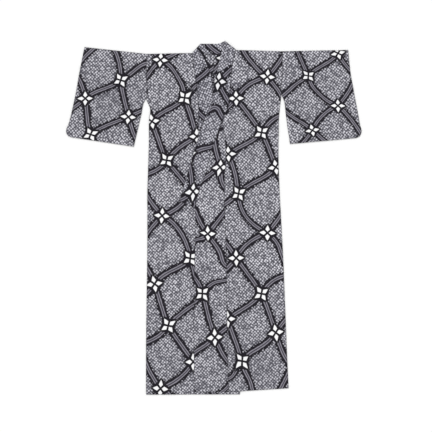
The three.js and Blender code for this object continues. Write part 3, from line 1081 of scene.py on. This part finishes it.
def loop_of_thread():
    """A rounded loop of unit size, as points and faces."""
    points = [(-1.0, 0.0, 0.0)]
    for t in RINGS:
        r = math.sqrt(1 - t * t)
        for k in range(AROUND):
            a = 2 * math.pi * k / AROUND
            points.append((t, r * math.cos(a), r * math.sin(a)))
    points.append((1.0, 0.0, 0.0))
    last = len(points) - 1
    faces = []
    for k in range(AROUND):
        after = (k + 1) % AROUND
        faces.append((0, 1 + after, 1 + k))
        faces.append((last, last - AROUND + k, last - AROUND + after))
        for first in range(1, 1 + AROUND * (len(RINGS) - 1), AROUND):
            faces.append((first + k, first + after, first + AROUND + after, first + AROUND + k))
    return np.array(points), faces


class Thread:
    """Collects stitches into one mesh."""

    def __init__(self):
        self.points, self.faces, self.count = [], [], 0
        self.loop, self.loop_faces = loop_of_thread()

    def stitch(self, at, height, angle, size):
        c, s = math.cos(angle), math.sin(angle)
        loop = self.loop * size
        x, y = loop[:, 0] * c - loop[:, 1] * s, loop[:, 0] * s + loop[:, 1] * c
        self.points.append(np.column_stack([at[0] + x, at[1] + y, height + loop[:, 2]]))
        self.faces += [tuple(i + self.count for i in face) for face in self.loop_faces]
        self.count += len(loop)

    def hem(self, line, top, inset=STITCH_INSET):
        """Blind stitches along a line, inset to its left."""
        line = np.array(line, float)
        step = np.diff(line, axis=0)
        length = np.concatenate([[0], np.cumsum(np.linalg.norm(step, axis=1))])
        for k, along in enumerate(np.arange(STITCH_STEP / 2, length[-1], STITCH_STEP)):
            along += BY_HAND * math.sin(7.3 * k)
            i = min(int(np.searchsorted(length, along)) - 1, len(step) - 1)
            d = step[i] / np.linalg.norm(step[i])
            at = line[i] + d * (along - length[i]) + inset * np.array([-d[1], d[0]])
            slant = SLANT * math.sin(3.1 * k + 1)
            self.stitch(at, float(top(at[None])[0]), math.atan2(d[1], d[0]) + slant, STITCH)

    def tack(self, at, top):
        at = np.array(at, float)
        self.stitch(at, float(top(at[None])[0]), 0.0, TACK)

    def build(self, name):
        mesh = bpy.data.meshes.new(name)
        mesh.from_pydata((np.concatenate(self.points) * MM).tolist(), [], self.faces)
        mesh.update()
        piece = linked(name, mesh, THREAD)
        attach(piece, "root")


def stitching():
    """The sewing that shows: blind stitches along the turned hems, and bar tacks where openings start."""

    def top(underside, rise=CLOTH + HEM_RISE):
        return lambda points: underside(points) + rise

    sewn = Thread()
    sewn.hem([R_SIDE[-1], (COVERED_X, R_INNER[-1, 1])], top(over_back))
    sewn.hem([L_OVERLAP[-1], L_INNER[-1]], top(under_left_front))
    sewn.hem([L_INNER[-1], L_SIDE[-1]], top(under_left_front))
    sewn.hem(L_OVERLAP[L_OVERLAP[:, 1] < BELOW_BAND], top(under_left_front))
    sewn.hem([L_BAND_FREE[-1], L_BAND_SEAM[-1]], top(under_left_band, BAND), BAND_INSET)
    for rows, out in ((RIGHT_SLEEVE, -1), (LEFT_SLEEVE, 1)):
        wrist = smooth(column(rows, 1), steps_of(column(rows, 0), column(rows, 1)))
        opening = wrist[wrist[:, 1] > wrist[-1, 1] - OPENING]
        sewn.hem(opening if out > 0 else opening[::-1], top(over_back))
        sewn.tack(opening[0] - (out * STITCH_INSET, 0), top(over_back))
    sewn.tack(np.array(RIGHT_ROWS[ARMHOLE_ROW][1]) + (TACK_INSET, 0), top(over_back, CLOTH))
    sewn.tack(np.array(LEFT_ROWS[ARMHOLE_ROW][1]) - (TACK_INSET, 0), top(under_left_front, CLOTH))
    sewn.build("stitching")


stitching()


# ---------------- floor, light and camera


FLOOR_REACH = 6.0
FLOOR_DROP = 0.0003  # the floor lies just clear of the cloth
SKY = 0.86
SUN = 0.95


def studio():
    floor_mesh = bpy.data.meshes.new("floor")
    corners = [(x * FLOOR_REACH, y * FLOOR_REACH, 0) for x, y in ((-1, -1), (1, -1), (1, 1), (-1, 1))]
    floor_mesh.from_pydata(corners, [], [(0, 1, 2, 3)])
    floor = bpy.data.objects.new("floor", floor_mesh)
    floor.location.z = -FLOOR_DROP
    bpy.context.scene.collection.objects.link(floor)
    pale = bpy.data.materials.new("floor_white")
    pale.use_nodes = True
    shader = pale.node_tree.nodes["Principled BSDF"]
    shader.inputs["Base Color"].default_value = (0.96, 0.96, 0.96, 1)
    shader.inputs["Roughness"].default_value = 0.9
    shader.inputs["Specular IOR Level"].default_value = 0.0
    floor_mesh.materials.append(pale)

    world = bpy.data.worlds.new("studio")
    world.use_nodes = True
    background = world.node_tree.nodes["Background"]
    background.inputs["Color"].default_value = (1, 1, 1, 1)
    background.inputs["Strength"].default_value = SKY
    bpy.context.scene.world = world

    lamp = bpy.data.lights.new("soft_key", "SUN")
    lamp.energy = SUN
    lamp.angle = math.radians(24)
    key = bpy.data.objects.new("soft_key", lamp)
    key.rotation_euler = (math.radians(-38), math.radians(-30), 0)
    bpy.context.scene.collection.objects.link(key)


VIEW_CENTRE = (10.2, 8.0)  # what the middle of the picture shows
VIEW_WIDTH = 1966.0  # what the picture is across
LENS = 85.0
SENSOR = 36.0


def camera():
    lens = bpy.data.cameras.new("camera")
    lens.lens = LENS
    lens.sensor_width = SENSOR
    lens.clip_end = 50
    eye = bpy.data.objects.new("camera", lens)
    eye.location = (VIEW_CENTRE[0] * MM, VIEW_CENTRE[1] * MM, VIEW_WIDTH * MM * LENS / SENSOR)
    bpy.context.scene.collection.objects.link(eye)
    bpy.context.scene.camera = eye
    bpy.context.scene.view_settings.view_transform = "Standard"


studio()
camera()
